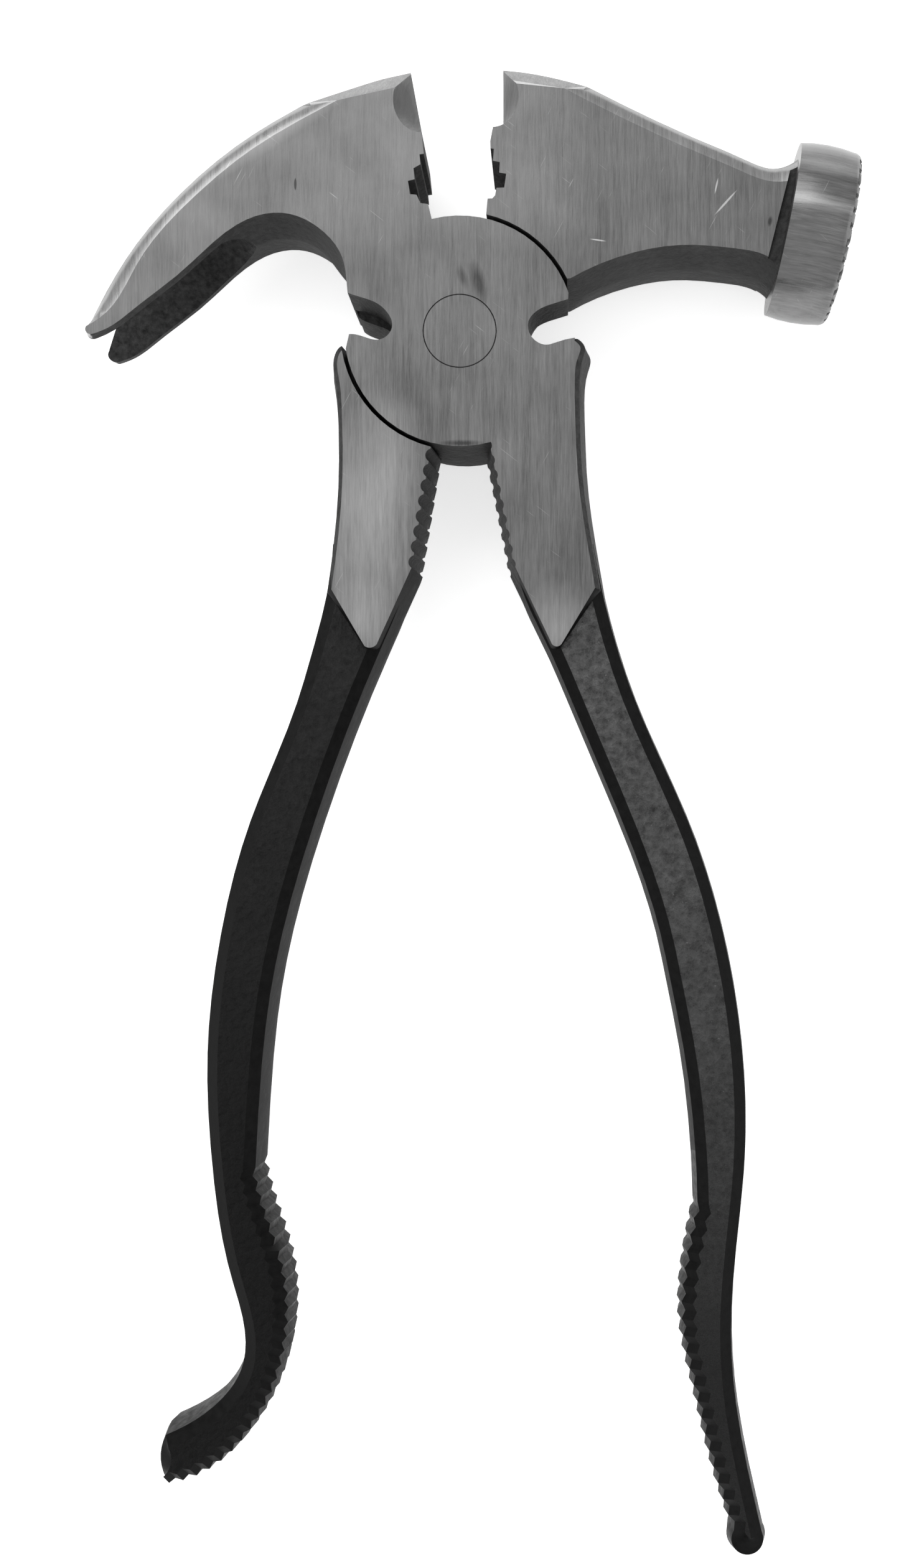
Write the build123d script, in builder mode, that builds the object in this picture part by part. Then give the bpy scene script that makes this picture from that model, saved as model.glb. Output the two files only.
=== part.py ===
from build123d import *
import os
from math import atan2, cos, degrees, radians, sin, tan

# Fencing pliers, millimetres. The pivot axis is Z through the origin, the jaws
# point along +Y, the handles along -Y. The back ground face of the head is z = 0.

# ---- head ---------------------------------------------------------------------
HEAD_T = 18.5                 # thickness of the forged head
MID = HEAD_T / 2              # height of the parting plane and of the lap joint
DRAFT = 7.5                   # forging draft of the side walls, degrees
FRONT_HUB_R = 20.85           # lapped disc of the claw half, in front
BACK_HUB_R = 20.3             # lapped disc of the hammer half, behind it
HUB_GAP = 0.75                # air round each disc in the other half's recess
LAP_GAP = 0.2                 # air between the two lapped discs
RIVET_R = 6.7                 # pivot rivet, pressed into the claw half
RUN_CLEAR = 0.05              # radial running clearance in the hammer half
THROUGH = 60.0                # length of a cut that passes through everything
WEDGE_SIDE = 96.0             # side of the cutters that thin the noses
OVER = 1.0                    # how far a pocket's cutter stands out of the face

# rounding and easing of the slabs: (depth below the face, inset of the outline)
BACK_ROUND = 3.0              # rounding along the backs of both jaws
ROUND_STEPS = (0, 30, 60, 90) # steps of that rounding, degrees
ROUNDED = [
    (BACK_ROUND * (1 - cos(radians(a))), BACK_ROUND * (1 - sin(radians(a)))) for a in ROUND_STEPS
]
EASED = [(0.0, 0.7), (1.0, 0.0)]
SQUARE = [(0.0, 0.0)]

# ---- noses and pincer edges -----------------------------------------------------
NOSE_LEAN = 35.0              # slope that thins the noses of the jaws, degrees
EDGE_LAND = 0.25              # half thickness of the pincer edges
SCOOP_AT_EDGE = (0.9, 9.0)    # half width and half length of a scoop at the edge
SCOOP_AT_FACE = (5.1, 5.3)    # and where it leaves the broad face
# centre at the edge, centre at the face, turn in degrees
CLAW_SCOOP = ((-7.75, 46.5), (-7.3, 41.0), 9.5)
HAMMER_SCOOP = ((6.55, 46.5), (5.9, 42.1), -1)
CLAW_NOSE_OUT = (-0.215, 0.977)
HAMMER_NOSE_OUT = (0.1, 0.995)

# ---- gripping teeth below the hub -------------------------------------------------
TOOTH_R = 1.25
TOOTH_GROOVES = 9
# top groove, bottom groove, height of the groove axes over the wall
CLAW_TEETH = ((4.2, -20.8), (8.5, -42.3), -0.85)
HAMMER_TEETH = ((-3.9, -19.85), (-7.4, -41.9), 0.6)

# ---- round striking head --------------------------------------------------------
HAMMER_R = 15.75              # at the belly of its slightly barrelled side
HAMMER_RIM_R = 15.3           # at both rims
HAMMER_LEN = 11.4
HAMMER_BELLY = 5.0            # distance of the belly from the back rim
HAMMER_EDGE_R = 1.5           # rounding round the striking face
HAMMER_TILT = -10.6           # direction of the striking axis, degrees
HAMMER_AT = (59.6, 21.6)      # centre of the back face of the head
WAFFLE_PITCH = 2.7
WAFFLE_WIDTH = 1.0
WAFFLE_DEPTH = 0.7
NECK_RELIEF = 0.6             # as-forged strip between the ground faces and the head
NECK_STRIP = [(55.3, 11.5), (61.0, 34.0), (67.0, 34.0), (63.0, 9.0)]

# ---- split of the nail claw: a wide V groove with a rounded root -------------------
SLOT_ROOT = (-38.6, 17.6)     # root on the underside
SLOT_TURN = 216.9             # direction from the root to the prong tips, degrees
SLOT_LEN = 44.0
# height above the underside, setback of the rounded root, bow of that root, half width
SLOT_SECTIONS = [(-6.0, -3.5, 6.6, 9.9), (20.0, 7.0, 0.9, 1.0), (25.0, 9.0, 0.8, 0.9)]

# ---- handles --------------------------------------------------------------------
HANDLE_TOP_Y = -38.0          # where the handles start inside the head roots
HANDLE_LENGTH = 180.0
HANDLE_T = 16.5               # handle thickness there
HOOK_T_END = 14.6             # thickness at the hooked end
TAIL_T_END = 11.0             # thickness at the straight end
INNER_CORNER = 2.5            # bevels of the broad faces, towards the other handle
OUTER_CORNER = 2.8            # and on the outside
CORNER_DEPTH = 1.7            # how far the bevels reach down the walls
CORNER_SHARE = 0.22           # part of the bevel width that is draft of the wall
RIDGE_DEPTH = 0.75            # saw ridges of the grips

os.makedirs("parts", exist_ok=True)


def moved(points, shifts):
    """Open run of points, each moved to its left by its own shift, with mitred corners."""
    spots = [Vector(*p) for p in points]
    runs = [(b - a).normalized() for a, b in zip(spots, spots[1:])]
    placed = []
    for spot, before, after, shift in zip(spots, runs[:1] + runs, runs + runs[-1:], shifts):
        mitre = (before + after) / (1 + before.dot(after))
        placed.append((spot.X - mitre.Y * shift, spot.Y + mitre.X * shift))
    return placed


def drafted(points, corners, closing, bands=SQUARE, banded=(), upright=()):
    """Forged slab, largest on the parting plane, its banded points rounded or eased."""
    levels = [(depth, depth, extra) for depth, extra in bands] + [(MID, MID, 0.0)]
    levels += [(HEAD_T - depth, depth, extra) for depth, extra in reversed(bands)]
    ends = [0, *corners, len(points) - 1]
    sections = []
    for height, depth, extra in levels:
        inset = (MID - depth) * tan(radians(DRAFT))
        shifts = [
            (0.0 if i in upright else inset) + (extra if i in banded else 0.0)
            for i in range(len(points))
        ]
        run = moved(points, shifts)
        with BuildSketch(Plane.XY.offset(height)) as outline:
            with BuildLine():
                for first, last in zip(ends, ends[1:]):
                    if last - first == 1:
                        Line(run[first], run[last])
                    else:
                        Spline(*run[first : last + 1])
                Polyline(run[-1], *closing, run[0])
            make_face()
        sections.append(outline.sketch)
    return loft(sections, ruled=True)


def through_cut(*runs):
    """Face on the parting plane, bounded by smooth and straight runs of points."""
    with BuildSketch(Plane.XY.offset(MID)) as face:
        with BuildLine():
            for run in runs:
                if len(run) == 2:
                    Line(*run)
                else:
                    Spline(*run)
        make_face()
    return face.sketch


def saw_line(points, ridges):
    """Saw ridges along a smooth curve: crests on the curve, notches to its left."""
    curve = Edge.make_spline([Vector(*p) for p in points])
    spots = [points[0]]
    for i in range(ridges):
        notch = curve.position_at((i + 0.5) / ridges)
        run = curve.tangent_at((i + 0.5) / ridges)
        crest = curve.position_at((i + 1) / ridges)
        spots.append((notch.X - run.Y * RIDGE_DEPTH, notch.Y + run.X * RIDGE_DEPTH))
        spots.append((crest.X, crest.Y))
    return spots


def draw_side(run, grip, ridges):
    """One side of a handle: smooth, with saw ridges between two of its points."""
    first, last = grip
    if first > 0:
        Spline(*run[: first + 1])
    if ridges:
        Polyline(*saw_line(run[first : last + 1], ridges))
    if last < len(run) - 1:
        Spline(*run[last:])


def handle_blank(down, tip, up, end_thickness):
    """Forged handle: both broad faces lean towards each other along its length.

    Each side is its points, its bevel, the span of its grip and the number of ridges.
    """
    half = HANDLE_T / 2
    lean = degrees(atan2((HANDLE_T - end_thickness) / 2, HANDLE_LENGTH))
    levels = [
        (-1, half, 1.0), (-1, half - CORNER_DEPTH, CORNER_SHARE), (0, 0.0, 0.0),
        (1, half - CORNER_DEPTH, CORNER_SHARE), (1, half, 1.0),
    ]
    sections = []
    for side, rise, share in levels:
        plane = Plane(
            origin=(0, HANDLE_TOP_Y, MID + side * rise),
            z_dir=Vector(0, 0, 1).rotate(Axis.X, side * lean),
            x_dir=(1, 0, 0),
        )
        runs = []
        for points, corner, grip, ridges in (down, up):
            lowered = [(x, y - HANDLE_TOP_Y) for x, y in points]
            runs.append(moved(lowered, [corner * share] * len(lowered)))
        ends = [down[0][-1], tip, up[0][0]]
        lowered_ends = [(x, y - HANDLE_TOP_Y) for x, y in ends]
        tip_spot = moved(lowered_ends, [down[1] * share] * 3)[1]
        with BuildSketch(plane) as outline:
            with BuildLine():
                draw_side(runs[0], *down[2:])
                ThreePointArc(runs[0][-1], tip_spot, runs[1][0])
                draw_side(runs[1], *up[2:])
                Line(runs[1][-1], runs[0][0])
            make_face()
        sections.append(outline.sketch)
    return loft(sections, ruled=True)


def tooth_grooves(top, bottom, lift):
    """Round grooves across a drafted wall, leaning inwards with it on both layers."""
    start = Vector(*top, MID)
    run = Vector(*bottom, MID) - start
    outward = Vector(-run.Y, run.X, 0).normalized()
    lean = tan(radians(DRAFT)) * (1 if lift > 0 else -1)
    grooves = []
    for i in range(TOOTH_GROOVES):
        spot = start + run * (i / (TOOTH_GROOVES - 1)) + outward * lift
        for layer in (-1, 1):
            plane = Plane(origin=spot, z_dir=Vector(0, 0, layer) - outward * lean)
            with BuildSketch(plane) as ring:
                Circle(TOOTH_R)
            grooves.append(extrude(ring.sketch, amount=HEAD_T))
    return grooves


def nose_wedges(nose, back):
    """Cutters that thin the nose of a jaw from both broad faces down to its edge."""
    outward = Vector(*back, 0).normalized() * cos(radians(NOSE_LEAN))
    wedges = []
    for layer in (-1, 1):
        rise = Vector(0, 0, layer * sin(radians(NOSE_LEAN)))
        with BuildSketch(Plane(origin=(*nose, MID), z_dir=outward + rise)) as foot:
            Rectangle(WEDGE_SIDE, WEDGE_SIDE)
        wedges.append(extrude(foot.sketch, amount=THROUGH))
    return wedges


def scoops(edge_at, face_at, turn):
    """Cutters that hollow both broad faces and leave the pincer edge between them."""
    cutters = []
    for side in (-1, 1):
        with BuildSketch(Plane.XY.offset(MID + side * EDGE_LAND)) as edge_end:
            with Locations(Location((*edge_at, 0), (0, 0, turn))):
                Ellipse(*SCOOP_AT_EDGE)
        with BuildSketch(Plane.XY.offset(MID + side * (MID + OVER))) as face_end:
            with Locations(Location((*face_at, 0), (0, 0, turn))):
                Ellipse(*SCOOP_AT_FACE)
        cutters.append(loft([edge_end.sketch, face_end.sketch], ruled=True))
    return cutters


def claw_split():
    """Cutter for the split of the nail claw."""
    turn = radians(SLOT_TURN)
    base = Plane(
        origin=(*SLOT_ROOT, MID), x_dir=(cos(turn), sin(turn), 0), z_dir=(sin(turn), -cos(turn), 0),
    )
    sections = []
    for height, setback, bow, half in SLOT_SECTIONS:
        with BuildSketch(base.offset(height)) as section:
            with BuildLine():
                ThreePointArc((setback + bow, half), (setback, 0), (setback + bow, -half))
                Polyline(
                    (setback + bow, -half), (SLOT_LEN, -half), (SLOT_LEN, half), (setback + bow, half),
                )
            make_face()
        sections.append(section.sketch)
    return loft(sections, ruled=True)


# ---- claw jaw -------------------------------------------------------------------
CLAW_OUTLINE = [
    (-3.0, 51.5), (-9.5, 51.1), (-14.6, 50.0), (-20.5, 47.3), (-30.9, 41.8), (-41.1, 35.5),
    (-51.35, 26.9), (-61.6, 14.8), (-66.4, 6.6), (-68.7, 1.2), (-68.8, -0.7), (-67.4, -1.8),
    (-65.6, -1.6), (-62.6, -0.3), (-57.9, 3.2), (-49.6, 9.7), (-40.8, 17.4), (-36.4, 19.6),
    (-31.5, 20.0), (-26.2, 17.6), (-22.3, 12.8), (-20.6, 10.5), (-20.3, 7.2), (-19.0, 3.0),
]
claw_jaw = drafted(
    CLAW_OUTLINE, [1, 9], [(-6, 3.0), (0, 10)], ROUNDED, banded=range(0, 9), upright=range(21, 24),
)

# ---- hammer jaw -----------------------------------------------------------------
HAMMER_OUTLINE = [
    (16.0, 5.4), (24.9, 10.6), (32.2, 13.1), (40.1, 14.3), (49.7, 13.7), (54.6, 12.6),
    (57.2, 10.6), (58.6, 7.5), (64.0, 10.0), (66.0, 32.0), (62.8, 35.0), (60.6, 32.6),
    (57.0, 31.4), (51.8, 33.1), (45.7, 35.7), (35.6, 40.2), (23.9, 46.0), (16.6, 49.5),
    (7.5, 51.5), (2.0, 51.6),
]
hammer_jaw = drafted(
    HAMMER_OUTLINE, [7, 8, 9, 10, 18], [(0, 10)], ROUNDED, banded=range(10, 20),
)

# ---- round striking head --------------------------------------------------------
with BuildPart() as striker:
    turn = radians(HAMMER_TILT)
    axis_dir = Vector(cos(turn), sin(turn), 0)
    with BuildSketch(Plane(origin=(*HAMMER_AT, MID), x_dir=axis_dir, z_dir=(0, 0, 1))):
        with BuildLine():
            belly = (HAMMER_BELLY, HAMMER_R)
            side_end = (HAMMER_LEN - HAMMER_EDGE_R, HAMMER_RIM_R)
            edge_mid = HAMMER_EDGE_R * sin(radians(45))
            face_end = (HAMMER_LEN, HAMMER_RIM_R - HAMMER_EDGE_R)
            corner = (face_end[0] - HAMMER_EDGE_R + edge_mid, face_end[1] + edge_mid)
            Line((0, 0), (0, HAMMER_RIM_R))
            ThreePointArc((0, HAMMER_RIM_R), belly, side_end)
            ThreePointArc(side_end, corner, face_end)
            Polyline(face_end, (HAMMER_LEN, 0), (0, 0))
        make_face()
    revolve(axis=Axis((*HAMMER_AT, MID), axis_dir))
    face_plane = Plane(origin=(*HAMMER_AT, MID), x_dir=(0, 0, 1), z_dir=axis_dir).offset(HAMMER_LEN)
    with BuildSketch(face_plane):
        half_count = int(HAMMER_R / WAFFLE_PITCH)
        for quarter in (0, 90):
            for i in range(-half_count, half_count + 1):
                across = Location((i * WAFFLE_PITCH, 0, 0))
                with Locations(Location((0, 0, 0), (0, 0, quarter)) * across):
                    Rectangle(WAFFLE_WIDTH, 2 * HAMMER_R)
    extrude(amount=-WAFFLE_DEPTH, mode=Mode.SUBTRACT)

# ---- hooked handle --------------------------------------------------------------
HOOK_OUTER = [
    (-23.9, -38.0), (-25.0, -46.9), (-27.7, -57.6), (-30.85, -67.9), (-39.1, -88.7),
    (-44.5, -109.5), (-46.9, -130.4), (-46.1, -151.3), (-42.6, -172.1), (-40.15, -182.0),
    (-40.7, -188.5), (-44.4, -194.1), (-49.3, -197.9), (-54.3, -200.4),
]
HOOK_TIP = (-55.6, -205.6)
HOOK_INNER = [
    (-53.2, -210.3), (-44.8, -207.1), (-38.2, -200.5), (-32.9, -190.1), (-31.0, -179.5),
    (-31.85, -170.0), (-34.7, -161.0), (-37.0, -152.0), (-36.4, -140.9), (-34.25, -120.1),
    (-26.1, -88.7), (-14.1, -57.4), (-9.8, -46.9), (-7.8, -38.0),
]
HOOK_GRIP = (0, 7)            # first and last of those points that carry ridges
HOOK_RIDGES = 26
hook_handle = handle_blank(
    (HOOK_OUTER, OUTER_CORNER, (0, 0), 0), HOOK_TIP, (HOOK_INNER, INNER_CORNER, HOOK_GRIP, HOOK_RIDGES),
    HOOK_T_END,
)

# ---- straight handle ------------------------------------------------------------
TAIL_INNER = [
    (9.2, -38.0), (10.8, -46.9), (15.6, -57.3), (19.8, -67.0), (28.95, -88.7), (36.05, -109.6),
    (37.9, -118.3), (40.25, -130.4), (42.4, -149.0), (42.8, -158.5), (40.4, -171.0),
    (39.9, -180.0), (42.5, -194.0), (45.9, -208.0), (49.6, -219.5),
]
TAIL_GRIP = (9, 14)
TAIL_RIDGES = 20
TAIL_TIP = (53.0, -224.9)
TAIL_OUTER = [
    (55.9, -219.5), (53.1, -207.0), (50.9, -194.0), (50.2, -180.0), (51.3, -165.2),
    (52.6, -151.3), (52.1, -130.4), (48.7, -109.5), (42.2, -88.6), (33.0, -67.8),
    (26.5, -46.9), (24.8, -38.0),
]
tail_handle = handle_blank(
    (TAIL_INNER, INNER_CORNER, TAIL_GRIP, TAIL_RIDGES), TAIL_TIP, (TAIL_OUTER, OUTER_CORNER, (0, 0), 0),
    TAIL_T_END,
)

# ---- head roots of the two handles ------------------------------------------------
HOOK_ROOT = [
    (-19.0, -2.0), (-22.5, -1.5), (-24.0, -4.6), (-23.7, -9.0), (-23.2, -15.0), (-23.05, -21.0),
    (-23.2, -28.8), (-24.1, -39.1), (-25.2, -47.2), (-18.0, -58.0), (-16.2, -58.6),
    (-14.1, -57.6), (-7.5, -43.1), (-4.0, -21.2), (-3.4, -16.0),
]
hook_root = drafted(HOOK_ROOT, [8, 9, 11, 12, 13], [(-8, -4)], EASED, banded=range(1, 9))

TAIL_ROOT = [
    (4.0, -16.0), (4.2, -20.4), (8.5, -42.3), (15.8, -57.6), (17.6, -58.4), (19.2, -57.6),
    (26.5, -46.9), (25.3, -40.1), (24.0, -32.0), (23.2, -24.9), (22.8, -15.9), (22.7, -9.0),
    (23.3, -5.0), (23.8, -2.5), (22.6, -0.6), (19.0, -0.2),
]
tail_root = drafted(TAIL_ROOT, [1, 2, 3, 5, 6], [(8, -4)], EASED, banded=range(6, 15))

# ---- claw half: claw jaw, front hub disc, straight handle ----------------------------
CLAW_MATING = [
    (-4.7, 18.0), (-5.05, 20.2), (-5.7, 22.9), (-7.1, 23.1), (-7.8, 24.6), (-9.0, 24.7),
    (-9.35, 27.1), (-8.15, 27.4), (-8.35, 29.4), (-7.1, 30.1), (-7.25, 31.9), (-6.5, 32.0),
    (-6.9, 36.1), (-7.7, 40.1), (-9.7, 51.0), (-10.0, 54.0), (6, 60), (6, 8), (-4.7, 8),
]
CLAW_LEFT_NOTCH = [
    [(-25, 6.9), (-20.3, 6.9)],
    [(-20.3, 6.9), (-17.9, 6.1), (-14.8, 4.9), (-13.1, 3.35), (-12.2, 1.3), (-12.7, -0.4),
     (-14.8, -1.6), (-17.5, -1.0), (-20.0, -0.6)],
    [(-20.0, -0.6), (-20.6, -3.2)], [(-20.6, -3.2), (-25, -3.2)], [(-25, -3.2), (-25, 6.9)],
]
CLAW_RIGHT_NOTCH = [
    [(26, 7.5), (19.7, 7.5)], [(19.7, 7.5), (19.6, 5.75)],
    [(19.6, 5.75), (16.2, 4.7), (13.8, 3.5), (12.4, 1.6), (12.4, 0.25), (13.2, -1.3),
     (15.5, -2.5), (17.9, -1.9), (21.0, -1.2), (26, -1.3)],
    [(26, -1.3), (26, 7.5)],
]
with BuildPart() as claw_half:
    add(claw_jaw)
    with BuildSketch(Plane.XY.offset(MID)):
        Polygon(*CLAW_MATING, align=None)
    extrude(amount=THROUGH, both=True, mode=Mode.SUBTRACT)
    add(nose_wedges(CLAW_OUTLINE[1], CLAW_NOSE_OUT), mode=Mode.SUBTRACT)
    add(scoops(*CLAW_SCOOP), mode=Mode.SUBTRACT)
    add(claw_split(), mode=Mode.SUBTRACT)
    add(tail_root)
    add(tooth_grooves(*CLAW_TEETH), mode=Mode.SUBTRACT)
    add(tail_handle)
    with BuildSketch(Plane.XY.offset(-OVER)):
        Circle(BACK_HUB_R + HUB_GAP)
    extrude(amount=MID + OVER + LAP_GAP / 2, mode=Mode.SUBTRACT)
    with BuildSketch(Plane.XY.offset(MID + LAP_GAP / 2)):
        Circle(FRONT_HUB_R)
    extrude(amount=MID - LAP_GAP / 2)
    add(through_cut(*CLAW_LEFT_NOTCH))
    add(through_cut(*CLAW_RIGHT_NOTCH))
    extrude(amount=THROUGH, both=True, mode=Mode.SUBTRACT)
    with BuildSketch(Plane.XY.offset(-OVER)):
        Circle(RIVET_R)
    extrude(amount=THROUGH, mode=Mode.SUBTRACT)
claw_half.part.label = "claw_half"
export_step(claw_half.part, "parts/claw_half.step")

# ---- hammer half: hammer jaw, back hub disc, hooked handle ---------------------------
HAMMER_MATING = [
    (4.7, 18.0), (4.8, 21.3), (5.04, 23.9), (5.9, 23.95), (6.4, 24.5), (6.65, 25.85),
    (8.05, 25.9), (8.4, 28.4), (7.16, 28.6), (7.25, 30.5), (6.0, 30.75), (6.18, 32.9),
    (5.56, 33.0), (5.5, 34.2), (6.0, 36.8), (6.5, 37.5), (7.6, 37.7), (7.5, 54.0),
    (-6, 60), (-6, 8), (4.7, 8),
]
HAMMER_RIGHT_NOTCH = [
    [(26, 9.6), (20.2, 9.5)],
    [(20.2, 9.5), (15.8, 8.2), (13.3, 6.0), (12.2, 3.5), (12.5, 1.0), (14.6, -0.8),
     (17.5, -0.6), (20.0, 0.2)],
    [(20.0, 0.2), (20.6, -3.2)], [(20.6, -3.2), (26, -3.2)], [(26, -3.2), (26, 9.6)],
]
HAMMER_LEFT_NOTCH = [
    [(-26, 7.3), (-19.7, 7.3)], [(-19.7, 7.3), (-19.6, 5.6)],
    [(-19.6, 5.6), (-17.2, 4.3), (-14.2, 3.2), (-12.6, 1.6), (-12.5, 0.2), (-13.4, -1.4),
     (-15.7, -2.6), (-18.1, -2.1), (-21.0, -1.4), (-26, -1.5)],
    [(-26, -1.5), (-26, 7.3)],
]
with BuildPart() as hammer_half:
    add(hammer_jaw)
    with BuildSketch(Plane.XY.offset(MID)):
        Polygon(*HAMMER_MATING, align=None)
    extrude(amount=THROUGH, both=True, mode=Mode.SUBTRACT)
    add(nose_wedges(HAMMER_OUTLINE[-2], HAMMER_NOSE_OUT), mode=Mode.SUBTRACT)
    add(scoops(*HAMMER_SCOOP), mode=Mode.SUBTRACT)
    for height, reach in ((HEAD_T - NECK_RELIEF, HEAD_T), (NECK_RELIEF, -HEAD_T)):
        with BuildSketch(Plane.XY.offset(height)):
            Polygon(*NECK_STRIP, align=None)
        extrude(amount=reach, mode=Mode.SUBTRACT)
    add(striker.part)
    add(hook_root)
    add(tooth_grooves(*HAMMER_TEETH), mode=Mode.SUBTRACT)
    add(hook_handle)
    with BuildSketch(Plane.XY.offset(MID - LAP_GAP / 2)):
        Circle(FRONT_HUB_R + HUB_GAP)
    extrude(amount=MID + OVER + LAP_GAP / 2, mode=Mode.SUBTRACT)
    with BuildSketch(Plane.XY):
        Circle(BACK_HUB_R)
    extrude(amount=MID - LAP_GAP / 2)
    add(through_cut(*HAMMER_RIGHT_NOTCH))
    add(through_cut(*HAMMER_LEFT_NOTCH))
    extrude(amount=THROUGH, both=True, mode=Mode.SUBTRACT)
    with BuildSketch(Plane.XY.offset(-OVER)):
        Circle(RIVET_R + RUN_CLEAR)
    extrude(amount=THROUGH, mode=Mode.SUBTRACT)
hammer_half.part.label = "hammer_half"
export_step(hammer_half.part, "parts/hammer_half.step")

# ---- pivot rivet, ground flush on both faces -----------------------------------------
with BuildPart() as pivot_rivet:
    with BuildSketch(Plane.XY):
        Circle(RIVET_R)
    extrude(amount=HEAD_T)
pivot_rivet.part.label = "pivot_rivet"
export_step(pivot_rivet.part, "parts/pivot_rivet.step")
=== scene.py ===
"""Fencing pliers: two forged halves on one rivet, dressed and lit for a studio view."""

import logging
from dataclasses import dataclass, field
from enum import Enum
from math import cos, pi, radians, sin

import bmesh
import bpy
from mathutils import Matrix, Vector


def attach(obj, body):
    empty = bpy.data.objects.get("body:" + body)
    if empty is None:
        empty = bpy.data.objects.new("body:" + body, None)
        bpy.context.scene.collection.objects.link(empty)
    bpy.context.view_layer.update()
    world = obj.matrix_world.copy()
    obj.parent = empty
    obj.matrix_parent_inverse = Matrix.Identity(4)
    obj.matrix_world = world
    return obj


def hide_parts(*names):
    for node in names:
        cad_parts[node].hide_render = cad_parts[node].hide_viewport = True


MM = 0.001
PATCH_DEPTH = 10.0
FOCUS = (0.0, -0.08, 0.0)
Socket = bpy.types.NodeSocket
Colour = tuple[float, float, float]
LOG = logging.getLogger("fencing_pliers")

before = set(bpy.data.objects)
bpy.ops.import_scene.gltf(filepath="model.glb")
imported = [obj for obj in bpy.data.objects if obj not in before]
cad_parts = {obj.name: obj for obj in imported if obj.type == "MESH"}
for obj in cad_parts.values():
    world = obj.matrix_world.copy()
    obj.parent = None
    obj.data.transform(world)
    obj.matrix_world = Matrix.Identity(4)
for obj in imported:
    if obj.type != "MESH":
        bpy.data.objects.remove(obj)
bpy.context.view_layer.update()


class Zone(Enum):
    """Where a face of a forging belongs, which decides its finish; on the rounded backs and in the
    hollows it also decides painted highlight and painted shade.
    """

    GROUND = 0
    BACK = 1
    WALL = 2
    BLACK = 3
    PANEL = 4
    HEAD = 5
    SCOOP = 6
    SLOT = 7
    INNER = 8
    WAFFLE = 9
    RIM = 10


@dataclass(frozen=True)
class Patch:
    """Soft oval on a surface that is lighter or darker than the rest, in millimetres."""

    centre: tuple[float, float]
    radii: tuple[float, float]
    turn_deg: float
    gain: float
    core: float = 0.2


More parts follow.
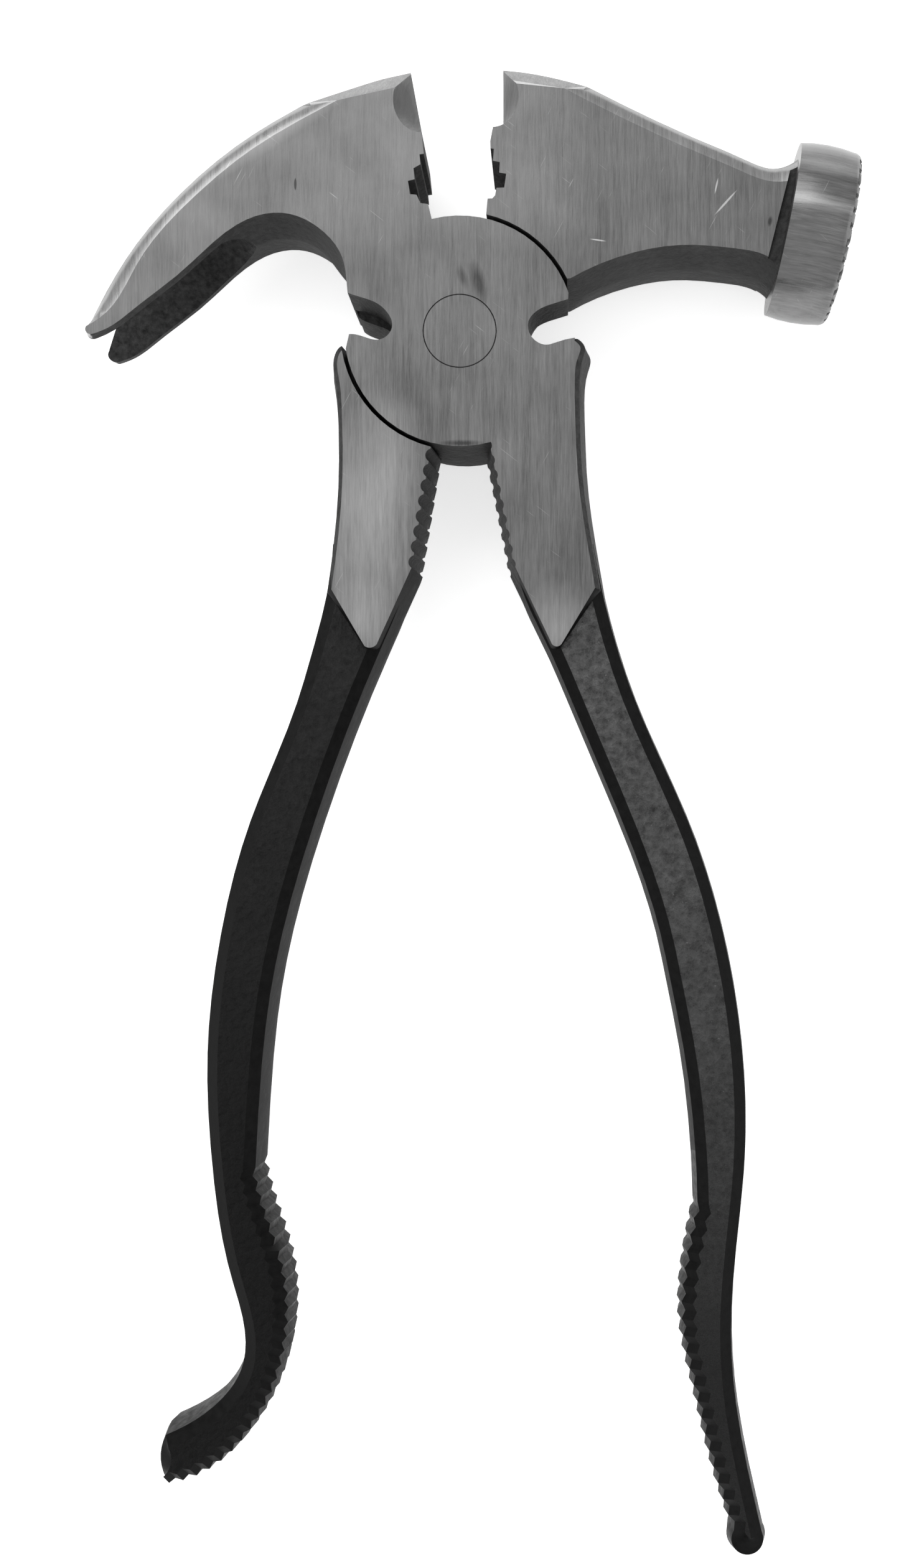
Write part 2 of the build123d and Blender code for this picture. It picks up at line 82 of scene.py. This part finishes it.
class NodeBoard:
    """Small helper that lays shader nodes and links for one material."""

    def __init__(self, name: str) -> None:
        """Start an empty material with a principled shader.

        Args:
            name: Name of the material.
        """
        self.material = bpy.data.materials.new(name)
        self.material.use_nodes = True
        self.nodes = self.material.node_tree.nodes
        self.links = self.material.node_tree.links
        self.nodes.clear()
        self.output = self.nodes.new("ShaderNodeOutputMaterial")
        self.shader = self.nodes.new("ShaderNodeBsdfPrincipled")
        self.links.new(self.shader.outputs["BSDF"], self.output.inputs["Surface"])
        self.place = self.nodes.new("ShaderNodeTexCoord").outputs["Object"]

    def mapped(self, scale: tuple[float, float, float], turn_deg: float = 0.0) -> Socket:
        """Object coordinates, turned about Z and scaled.

        Args:
            scale: Scale along each axis, per metre.
            turn_deg: Turn about Z in degrees.

        Returns:
            The mapped vector socket.
        """
        turned = self.nodes.new("ShaderNodeMapping")
        turned.inputs["Rotation"].default_value = (0.0, 0.0, radians(turn_deg))
        self.links.new(self.place, turned.inputs["Vector"])
        stretched = self.nodes.new("ShaderNodeMapping")
        stretched.inputs["Scale"].default_value = scale
        self.links.new(turned.outputs["Vector"], stretched.inputs["Vector"])
        return stretched.outputs["Vector"]

    def noise(
        self, vector: Socket, scale: float, detail: float = 4.0, rough: float = 0.55,
    ) -> Socket:
        """Noise pattern.

        Args:
            vector: Where it is read.
            scale: Size of the pattern.
            detail: Octaves.
            rough: Strength of the finer octaves.

        Returns:
            The value socket.
        """
        made = self.nodes.new("ShaderNodeTexNoise")
        made.inputs["Scale"].default_value = scale
        made.inputs["Detail"].default_value = detail
        made.inputs["Roughness"].default_value = rough
        self.links.new(vector, made.inputs["Vector"])
        return made.outputs["Fac"]

    def spread(
        self, value: Socket, low: float, high: float, to_low: float, to_high: float,
    ) -> Socket:
        """Map a range of values to another, clamped.

        Args:
            value: The value to map.
            low: Lower end of the range read.
            high: Upper end of the range read.
            to_low: What the lower end becomes.
            to_high: What the upper end becomes.

        Returns:
            The mapped value socket.
        """
        made = self.nodes.new("ShaderNodeMapRange")
        made.clamp = True
        self.links.new(value, made.inputs["Value"])
        ends = {"From Min": low, "From Max": high, "To Min": to_low, "To Max": to_high}
        for key, number in ends.items():
            made.inputs[key].default_value = number
        return made.outputs["Result"]

    def combine(
        self, kind: str, first: Socket, second: Socket | float,
    ) -> Socket:
        """One math step.

        Args:
            kind: The operation, such as ADD or MULTIPLY.
            first: First value.
            second: Second value, a socket or a number.

        Returns:
            The result socket.
        """
        made = self.nodes.new("ShaderNodeMath")
        made.operation = kind
        self.links.new(first, made.inputs[0])
        if isinstance(second, (int, float)):
            made.inputs[1].default_value = second
        else:
            self.links.new(second, made.inputs[1])
        return made.outputs["Value"]

    def blend(self, first: Socket, second: Socket, first_share: float, second_share: float) -> Socket:
        """Weighted sum of two patterns.

        Args:
            first: First pattern.
            second: Second pattern.
            first_share: Weight of the first.
            second_share: Weight of the second.

        Returns:
            The summed value socket.
        """
        one = self.combine("MULTIPLY", first, first_share)
        return self.combine("ADD", one, self.combine("MULTIPLY", second, second_share))

    def tone(
        self, value: Socket, dark: Colour, light: Colour,
    ) -> Socket:
        """Colour that runs from dark to light with a value.

        Args:
            value: Position between the two colours.
            dark: Colour at 0.
            light: Colour at 1.

        Returns:
            The colour socket.
        """
        made = self.nodes.new("ShaderNodeValToRGB")
        made.color_ramp.elements[0].color = (*dark, 1.0)
        made.color_ramp.elements[1].color = (*light, 1.0)
        self.links.new(value, made.inputs["Fac"])
        return made.outputs["Color"]

    def fade(self, low: float, high: float) -> Socket:
        """Value that rises from 0 to 1 between two places along Y.

        Args:
            low: Where it is 0, in metres.
            high: Where it is 1, in metres.

        Returns:
            The value socket.
        """
        parts = self.nodes.new("ShaderNodeSeparateXYZ")
        self.links.new(self.place, parts.inputs[0])
        return self.spread(parts.outputs["Y"], low, high, 0.0, 1.0)

    def patch(self, spot: Patch) -> Socket:
        """Soft oval mask times its gain, the same through the whole thickness.

        Args:
            spot: The oval.

        Returns:
            The value socket, 0 outside the oval.
        """
        local = self.nodes.new("ShaderNodeMapping")
        local.vector_type = "TEXTURE"
        local.inputs["Location"].default_value = (spot.centre[0] * MM, spot.centre[1] * MM, 0.0)
        local.inputs["Rotation"].default_value = (0.0, 0.0, radians(spot.turn_deg))
        local.inputs["Scale"].default_value = (spot.radii[0] * MM, spot.radii[1] * MM, PATCH_DEPTH)
        self.links.new(self.place, local.inputs["Vector"])
        reach = self.nodes.new("ShaderNodeVectorMath")
        reach.operation = "LENGTH"
        self.links.new(local.outputs["Vector"], reach.inputs[0])
        return self.spread(reach.outputs["Value"], spot.core, 1.0, spot.gain, 0.0)

    def bump(self, height: Socket, distance: float, strength: float = 1.0) -> None:
        """Drive the shader's normal from a height pattern.

        Args:
            height: The height socket.
            distance: Height of the pattern in metres.
            strength: Strength of the bump.
        """
        made = self.nodes.new("ShaderNodeBump")
        made.inputs["Distance"].default_value = distance
        made.inputs["Strength"].default_value = strength
        self.links.new(height, made.inputs["Height"])
        self.links.new(made.outputs["Normal"], self.shader.inputs["Normal"])

    def feed(self, socket: str, source: Socket) -> None:
        """Link a varying source to one of the shader's sockets.

        Args:
            socket: Name of the shader socket.
            source: The varying source.
        """
        self.links.new(source, self.shader.inputs[socket])


@dataclass(frozen=True)
class GroundSteel:
    """Belt-ground steel with fine scratches along one direction, and optional ovals of real marks and
    painted highlights.
    """

    name: str
    turn_deg: float = 0.0
    dark: float = 0.05
    light: float = 0.37
    rough: float = 0.40
    nicks: float = 0.3
    patches: tuple[Patch, ...] = ()

    def build(self) -> bpy.types.Material:
        """Make the material.

        Returns:
            The finished material.
        """
        board = NodeBoard(self.name)
        fine = board.noise(board.mapped((5200.0, 240.0, 900.0), self.turn_deg), 1.0, 3.0, 0.65)
        coarse = board.noise(board.mapped((1500.0, 50.0, 300.0), self.turn_deg), 1.0, 2.0)
        cloud = board.noise(board.place, 55.0, 4.0)
        grain = board.noise(board.place, 2600.0, 2.0)
        lines = board.blend(fine, coarse, 0.6, 0.4)
        mixed = board.blend(lines, cloud, 0.62, 0.38)
        level = board.spread(mixed, 0.3, 0.7, 0.05, 0.45)
        for turn in (28.0, -52.0):
            drag = board.noise(board.mapped((3800.0, 110.0, 300.0), turn), 1.0, 2.0)
            level = board.combine("ADD", level, board.spread(drag, 0.73, 0.78, 0.0, self.nicks))
        # Each oval lightens or darkens the tone; some are marks on the steel, some are painted
        # highlights and painted reflections.
        for spot in self.patches:
            level = board.combine("ADD", level, board.patch(spot))
        board.feed("Base Color", board.tone(level, (self.dark,) * 3, (self.light,) * 3))
        board.feed("Roughness", board.spread(lines, 0.3, 0.7, self.rough - 0.08, self.rough + 0.1))
        board.shader.inputs["Metallic"].default_value = 1.0
        relief = board.combine("ADD", lines, board.combine("MULTIPLY", grain, 0.25))
        board.bump(relief, 0.00003, 0.8)
        return board.material


@dataclass(frozen=True)
class ForgedSkin:
    """Oxidised or painted forging skin with fine pits, and bright specks that are painted glints."""

    name: str
    dark: float = 0.006
    light: float = 0.02
    rough: float = 0.45
    pit_size: float = 900.0
    pit_depth: float = 0.00010
    worn: float = 0.0
    shine: float = 0.5
    sparkle: float = 0.0
    fade_y: tuple[float, float] | None = None

    def build(self) -> bpy.types.Material:
        """Make the material.

        Returns:
            The finished material.
        """
        board = NodeBoard(self.name)
        pits = board.noise(board.place, self.pit_size, 6.0, 0.6)
        waves = board.noise(board.place, self.pit_size * 0.22, 3.0)
        worn = board.combine("MULTIPLY", waves, self.worn)
        level = board.spread(board.combine("ADD", pits, worn), 0.35, 0.75 + self.worn * 0.5, 0.0, 1.0)
        # Bright specks added to the colour: painted glints.
        dots = board.noise(board.place, self.pit_size * 2.2, 2.0)
        painted_glints = board.spread(dots, 0.7, 0.76, 0.0, self.sparkle)
        level = board.combine("ADD", level, painted_glints)
        if self.fade_y:
            level = board.combine("MULTIPLY", level, board.fade(*self.fade_y))
        board.feed("Base Color", board.tone(level, (self.dark,) * 3, (self.light,) * 3))
        board.feed("Roughness", board.spread(pits, 0.3, 0.7, self.rough - 0.1, self.rough + 0.12))
        board.shader.inputs["Specular IOR Level"].default_value = self.shine
        relief = board.combine("ADD", pits, board.combine("MULTIPLY", waves, 0.8))
        board.bump(relief, self.pit_depth, 1.0)
        return board.material


@dataclass(frozen=True)
class HeadFrame:
    """Where the round striking head sits on the hammer half, in millimetres."""

    foot: tuple[float, float] = (59.6, 21.6)
    tilt_deg: float = -10.6
    length: float = 11.4
    waffle_band: float = 0.75
    back_margin: float = 0.02

    def along(self, spot: Vector) -> float:
        """Distance of a spot from the back rim along the striking axis.

        Args:
            spot: The spot in metres.

        Returns:
            The distance in millimetres.
        """
        turn = radians(self.tilt_deg)
        return (spot.x / MM - self.foot[0]) * cos(turn) + (spot.y / MM - self.foot[1]) * sin(turn)


@dataclass(frozen=True)
class SplitFrame:
    """Where the split of the nail claw lies, in millimetres."""

    root: tuple[float, float] = (-38.6, 17.6)
    turn_deg: float = 216.9
    root_reach: float = 9.0
    root_start: float = -1.0
    root_lean: float = 0.3
    start: float = -5.0
    end: float = 45.0
    side_x: float = -30.0
    flank_lean: float = 0.05

    def holds(self, spot: Vector, normal: Vector, mid: float) -> bool:
        """Whether a face belongs to the split.

        Args:
            spot: Middle of the face in metres.
            normal: Its normal.
            mid: Height of the parting plane in metres.

        Returns:
            True for the flanks and the rounded root of the split.
        """
        turn = radians(self.turn_deg)
        run = Vector((cos(turn), sin(turn), 0.0))
        reach = (spot / MM - Vector((*self.root, 0.0))).dot(run)
        inside = self.start < reach < self.end and spot.x < self.side_x * MM
        flank = normal.z * (spot.z - mid) < -self.flank_lean * MM
        root = self.root_start < reach < self.root_reach and normal.dot(run) > self.root_lean
        return inside and (flank or root)


@dataclass
class ForgedHalf:
    """One forging of the pliers, copied from its frame node and dressed zone by zone."""

    node: str
    body: str
    slot: str
    name: str
    inner_sign: float
    materials: dict[Zone, bpy.types.Material]
    head_height: float = 18.5 * MM
    weld: float = 0.002 * MM
    crease: float = radians(32)
    flat_limit: float = 0.995
    scoop_at: tuple[float, float] = (0.0, 44.0)
    scoop_reach: float = 8.0 * MM
    # Depth of the band on the rounded backs that gets the painted highlight.
    bright_depth: float = 1.5 * MM
    face_reach: float = 0.05 * MM
    hollow_lean: float = 0.2 * MM
    bite_half: float = 12 * MM
    nose_y: float = 40 * MM
    back_y: float = 26 * MM
    claw_side_x: float = -44 * MM
    panel_limit: float = 0.97
    wall_limit: float = 0.3
    inner_limit: float = 0.5
    hollow_limit: float = 0.05
    back_lean: float = 0.05
    side_lean: float = -0.04
    bite_facing: float = -0.9
    handle_y: float = -44.0 * MM
    grip_y: float = -150.0 * MM
    striker: HeadFrame | None = None
    split: SplitFrame | None = None
    piece: bpy.types.Object = field(init=False, default=None)

    def handle_zone(self, normal: Vector, spot: Vector) -> Zone:
        """Sort a face of the handle into its zone.

        Args:
            normal: The face's normal.
            spot: Its middle.

        Returns:
            Its zone.
        """
        if abs(normal.z) > self.panel_limit:
            return Zone.PANEL
        inner = normal.x * self.inner_sign > self.inner_limit and abs(normal.z) < self.wall_limit
        if inner and spot.y > self.grip_y:
            return Zone.INNER
        return Zone.BLACK

    def zone_of(self, face: bmesh.types.BMFace) -> Zone:
        """Sort a face into its zone by where it lies and which way it looks.

        Args:
            face: The face.

        Returns:
            Its zone.
        """
        spot = face.calc_center_median()
        normal = face.normal
        if self.striker and spot.y > 0 and self.striker.along(spot) > -self.striker.back_margin:
            tip = self.striker.along(spot) > self.striker.length - self.striker.waffle_band
            return Zone.WAFFLE if tip else Zone.HEAD
        if self.split and self.split.holds(spot, normal, self.head_height / 2):
            return Zone.SLOT
        on_face = min(abs(spot.z), abs(spot.z - self.head_height)) < self.face_reach
        if abs(normal.z) > self.flat_limit and on_face:
            return Zone.GROUND
        if spot.y < self.handle_y:
            return self.handle_zone(normal, spot)
        centre = Vector((self.scoop_at[0] * MM, self.scoop_at[1] * MM, spot.z))
        near = (spot - centre).length < self.scoop_reach
        hollow = (centre - spot).dot(normal) > self.hollow_lean and near
        # The scooped hollows take a darker copy of the ground steel: painted shade.
        if hollow and abs(normal.z) > self.hollow_limit:
            return Zone.SCOOP
        clear_of_bite = abs(spot.x) > self.bite_half or spot.y > self.nose_y
        upper = normal.y > self.back_lean and spot.y > self.back_y and clear_of_bite
        outward = upper or spot.x < self.claw_side_x and normal.x < self.side_lean
        if outward and self.split is None and normal.x < self.bite_facing:
            return Zone.WALL
        # Rounded backs: the band next to the ground face takes a lighter copy of the ground steel as a
        # painted highlight, the strip beyond it a darker copy as painted shade.
        if outward:
            depth = min(spot.z, self.head_height - spot.z)
            return Zone.BACK if depth < self.bright_depth else Zone.RIM
        return Zone.WALL

    def build(self) -> bpy.types.Object:
        """Copy and merge the forging, mark its creases and dress it.

        Returns:
            The finished piece.
        """
        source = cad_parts[self.node]
        shape = bmesh.new()
        shape.from_mesh(source.data)
        bmesh.ops.remove_doubles(shape, verts=shape.verts, dist=self.weld)
        bmesh.ops.dissolve_degenerate(shape, edges=shape.edges, dist=self.weld)
        bmesh.ops.recalc_face_normals(shape, faces=shape.faces)
        for face in shape.faces:
            face.material_index = self.zone_of(face).value
            face.smooth = True
        for edge in shape.edges:
            ground = [face.material_index == Zone.GROUND.value for face in edge.link_faces]
            crease = edge.calc_face_angle(pi) > self.crease or any(ground) != all(ground)
            edge.smooth = not crease
        mesh = bpy.data.meshes.new(self.name)
        shape.to_mesh(mesh)
        shape.free()
        for zone in Zone:
            mesh.materials.append(self.materials[zone])
        self.piece = bpy.data.objects.new(self.name, mesh)
        bpy.context.scene.collection.objects.link(self.piece)
        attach(self.piece, self.body)
        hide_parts(self.node)
        return self.piece


@dataclass
class PivotRivet:
    """Solid rivet, ground flush, with the thin dark seam round its head."""

    material: bpy.types.Material
    seam_material: bpy.types.Material
    radius: float = 6.62 * MM
    height: float = 18.5 * MM
    seam: float = 0.14 * MM
    sides: int = 96

    def build(self) -> bpy.types.Object:
        """Build the rivet.

        Returns:
            The finished piece.
        """
        shape = bmesh.new()
        bmesh.ops.create_cone(
            shape, cap_ends=True, segments=self.sides, radius1=self.radius, radius2=self.radius,
            depth=self.height, matrix=Matrix.Translation((0, 0, self.height / 2)),
        )
        rims = [e for e in shape.edges if abs(e.verts[0].co.z - e.verts[1].co.z) < self.seam]
        bmesh.ops.bevel(
            shape, geom=rims, offset=self.seam, affect="EDGES", segments=3, profile=0.5, material=-1,
        )
        for face in shape.faces:
            face.smooth = abs(face.normal.z) < 0.99
            face.material_index = 1 if face.smooth else 0
        mesh = bpy.data.meshes.new("pivot_rivet_head")
        shape.to_mesh(mesh)
        shape.free()
        mesh.materials.append(self.material)
        mesh.materials.append(self.seam_material)
        piece = bpy.data.objects.new("pivot_rivet_head", mesh)
        bpy.context.scene.collection.objects.link(piece)
        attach(piece, "claw_body")
        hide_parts("pivot_rivet")
        return piece


@dataclass
class Studio:
    """Pale floor that glows with its own light, soft lights and the camera."""

    floor_z: float = -6.6 * MM
    floor_side: float = 6.0
    camera_at: tuple[float, float, float] = (18.7 * MM, -89.8 * MM, 303.5 * MM)
    lens: float = 36.2
    shift: tuple[float, float] = (-0.068, 0.0278)

    def floor(self) -> None:
        """Lay the floor, which glows with its own light, lighting the tool from below and washing out
        its shadow.
        """
        shape = bmesh.new()
        bmesh.ops.create_grid(shape, x_segments=1, y_segments=1, size=self.floor_side / 2)
        bmesh.ops.translate(shape, verts=shape.verts, vec=(0, 0, self.floor_z))
        mesh = bpy.data.meshes.new("floor")
        shape.to_mesh(mesh)
        shape.free()
        board = NodeBoard("pale_glowing_floor")
        board.feed("Base Color", board.tone(board.noise(board.place, 40.0), (0.9,) * 3, (0.93,) * 3))
        board.shader.inputs["Roughness"].default_value = 0.9
        # Painted light: the floor glows, so it lights the tool from below and washes out the tool's
        # shadow.
        board.shader.inputs["Emission Color"].default_value = (1.0, 1.0, 1.0, 1.0)
        board.shader.inputs["Emission Strength"].default_value = 0.55
        board.shader.inputs["Specular IOR Level"].default_value = 0.1
        mesh.materials.append(board.material)
        plane = bpy.data.objects.new("floor", mesh)
        bpy.context.scene.collection.objects.link(plane)

    def light(
        self, name: str, at: tuple[float, float, float], size: tuple[float, float], power: float,
    ) -> None:
        """Hang one soft box that looks at the tool.

        Args:
            name: Name of the light.
            at: Place in metres.
            size: Width and height in metres.
            power: Power in watts.
        """
        data = bpy.data.lights.new(name, "AREA")
        data.shape = "RECTANGLE"
        data.size, data.size_y = size
        data.energy = power
        lamp = bpy.data.objects.new(name, data)
        lamp.location = at
        aim = Vector(FOCUS) - Vector(at)
        lamp.rotation_euler = aim.to_track_quat("-Z", "Y").to_euler()
        bpy.context.scene.collection.objects.link(lamp)

    def camera(self) -> None:
        """Set the camera straight above the tool."""
        data = bpy.data.cameras.new("camera")
        data.lens = self.lens
        data.sensor_width = 36.0
        data.shift_x, data.shift_y = self.shift
        data.clip_start = 0.01
        eye = bpy.data.objects.new("camera", data)
        eye.location = self.camera_at
        bpy.context.scene.collection.objects.link(eye)
        bpy.context.scene.camera = eye

    def build(self) -> None:
        """Set up floor, lights, surroundings and camera."""
        self.floor()
        self.light("key", (-0.35, 0.75, 0.9), (0.9, 0.9), 7.0)
        self.light("side", (-0.9, -0.2, 0.5), (0.5, 1.2), 3.0)
        self.light("fill", (0.9, -0.1, 0.6), (0.6, 1.2), 2.0)
        world = bpy.data.worlds.new("surroundings")
        world.use_nodes = True
        world.node_tree.nodes["Background"].inputs["Color"].default_value = (1, 1, 1, 1)
        world.node_tree.nodes["Background"].inputs["Strength"].default_value = 0.85
        bpy.context.scene.world = world
        bpy.context.scene.view_settings.view_transform = "Standard"
        self.camera()


def main() -> None:
    """Build the pliers and the studio in order and report each piece."""
    logging.basicConfig(level=logging.INFO)
    # Ovals on the ground faces: darker spots, thin bright scratches and the dark burr marks at the
    # lower edge of the disc are marks on the steel; the rest are painted highlights.
    face_marks_and_painted_highlights = (
        Patch((3.4, 8.6), (1.6, 4.6), 14.0, -0.22, 0.3),
        Patch((0.6, 9.6), (1.0, 2.6), 20.0, -0.16, 0.3),
        Patch((48.1, 23.2), (0.22, 3.2), -42.0, 1.6),
        Patch((46.4, 26.2), (0.18, 1.6), -12.0, 1.4),
        Patch((25.0, 16.4), (1.6, 0.16), -8.0, 1.4),
        Patch((56.1, 19.8), (0.5, 1.1), -12.0, -0.3),
        Patch((-29.7, 26.5), (0.25, 1.2), 0.0, -0.9),
        # Painted highlights: the V ends of the ground faces, lighter as if their slight curve caught
        # the light.
        Patch((-15.6, -34.0), (9.5, 27.0), -6.0, 0.42, 0.1),
        Patch((18.0, -54.0), (7.0, 10.0), 0.0, 0.4, 0.1),
        Patch((-17.5, -53.0), (7.0, 9.0), 0.0, 0.28, 0.1),
        # Painted highlights: long bright bands along the rounded jaw backs.
        Patch((35.0, 40.0), (26.0, 3.4), -27.0, 0.30, 0.0),
        Patch((-33.0, 37.5), (27.0, 3.6), 33.0, 0.30, 0.0),
        Patch((-12.0, -8.0), (5.0, 9.0), 30.0, -0.07, 0.1),
        Patch((0.5, -20.3), (4.5, 0.7), 0.0, -0.3),
    )
    # Painted reflections: two long bright bands along the axis of the round head, where the light
    # would mirror in it.
    head_painted_reflections = (
        Patch((66.0, 27.8), (12.0, 2.0), -10.6, 0.42, 0.1),
        Patch((65.0, 20.8), (12.0, 1.6), -10.6, 0.34, 0.1),
    )
    ground = GroundSteel("ground_face", patches=face_marks_and_painted_highlights).build()
    wall = ForgedSkin("forged_wall", 0.008, 0.05, 0.6, 800.0, 0.0003, 0.3, 0.08, 0.5).build()
    finishes = {
        Zone.GROUND: ground,
        # Lighter ground steel for the band of the rounded backs (painted highlight), darker for the
        # strip beyond (painted shade).
        Zone.BACK: GroundSteel("ground_back_painted_highlight", 0.0, 0.14, 0.60, 0.30).build(),
        Zone.RIM: GroundSteel("ground_rim_painted_shade", 0.0, 0.03, 0.17, 0.36).build(),
        Zone.WALL: wall,
        Zone.BLACK: ForgedSkin("black_paint", 0.002, 0.006, 0.46, 700.0, 0.00004, shine=0.06).build(),
        Zone.PANEL: ForgedSkin(
            "rough_panel", 0.002, 0.020, 0.36, 700.0, 0.0012, 0.4, 0.12, 0.7, (-150 * MM, -60 * MM),
        ).build(),
        Zone.HEAD: GroundSteel("turned_steel", 100.6, 0.04, 0.46, 0.30, patches=head_painted_reflections).build(),
        # Darker ground steel in the scooped hollows: painted shade.
        Zone.SCOOP: GroundSteel("hollow_steel_painted_shade", 10.0, 0.01, 0.13, 0.45).build(),
        Zone.SLOT: ForgedSkin("split_skin", 0.004, 0.05, 0.45, 900.0, 0.0004, 0.2, 0.12, 1.0).build(),
        Zone.INNER: ForgedSkin("grey_inner_wall", 0.008, 0.035, 0.6, 600.0, 0.0001, 0.3, 0.03).build(),
        Zone.WAFFLE: GroundSteel("waffle_steel", 45.0, 0.08, 0.42, 0.40).build(),
    }
    # Lighter copy of the rough panel for the claw handle, whose panel faces the light: painted light.
    painted_lit_panel = ForgedSkin(
        "rough_panel_painted_light", 0.002, 0.13, 0.30, 700.0, 0.0024, 0.35, 0.3, 0.9, (-190 * MM, -70 * MM),
    ).build()
    halves = (
        ForgedHalf(
            "claw_half", "claw_body", "forged_steel_claw", "claw_forging", -1.0,
            {**finishes, Zone.PANEL: painted_lit_panel}, scoop_at=(-7.5, 43.5), split=SplitFrame(),
        ),
        ForgedHalf(
            "hammer_half", "hammer_body", "forged_steel_hammer", "hammer_forging", 1.0,
            finishes, scoop_at=(6.2, 43.5), striker=HeadFrame(),
        ),
    )
    for half in halves:
        piece = half.build()
        LOG.info("built %s with %d faces", piece.name, len(piece.data.polygons))
    rivet = PivotRivet(ground, wall).build()
    LOG.info("built %s", rivet.name)
    Studio().build()


if __name__ == "__main__":
    main()
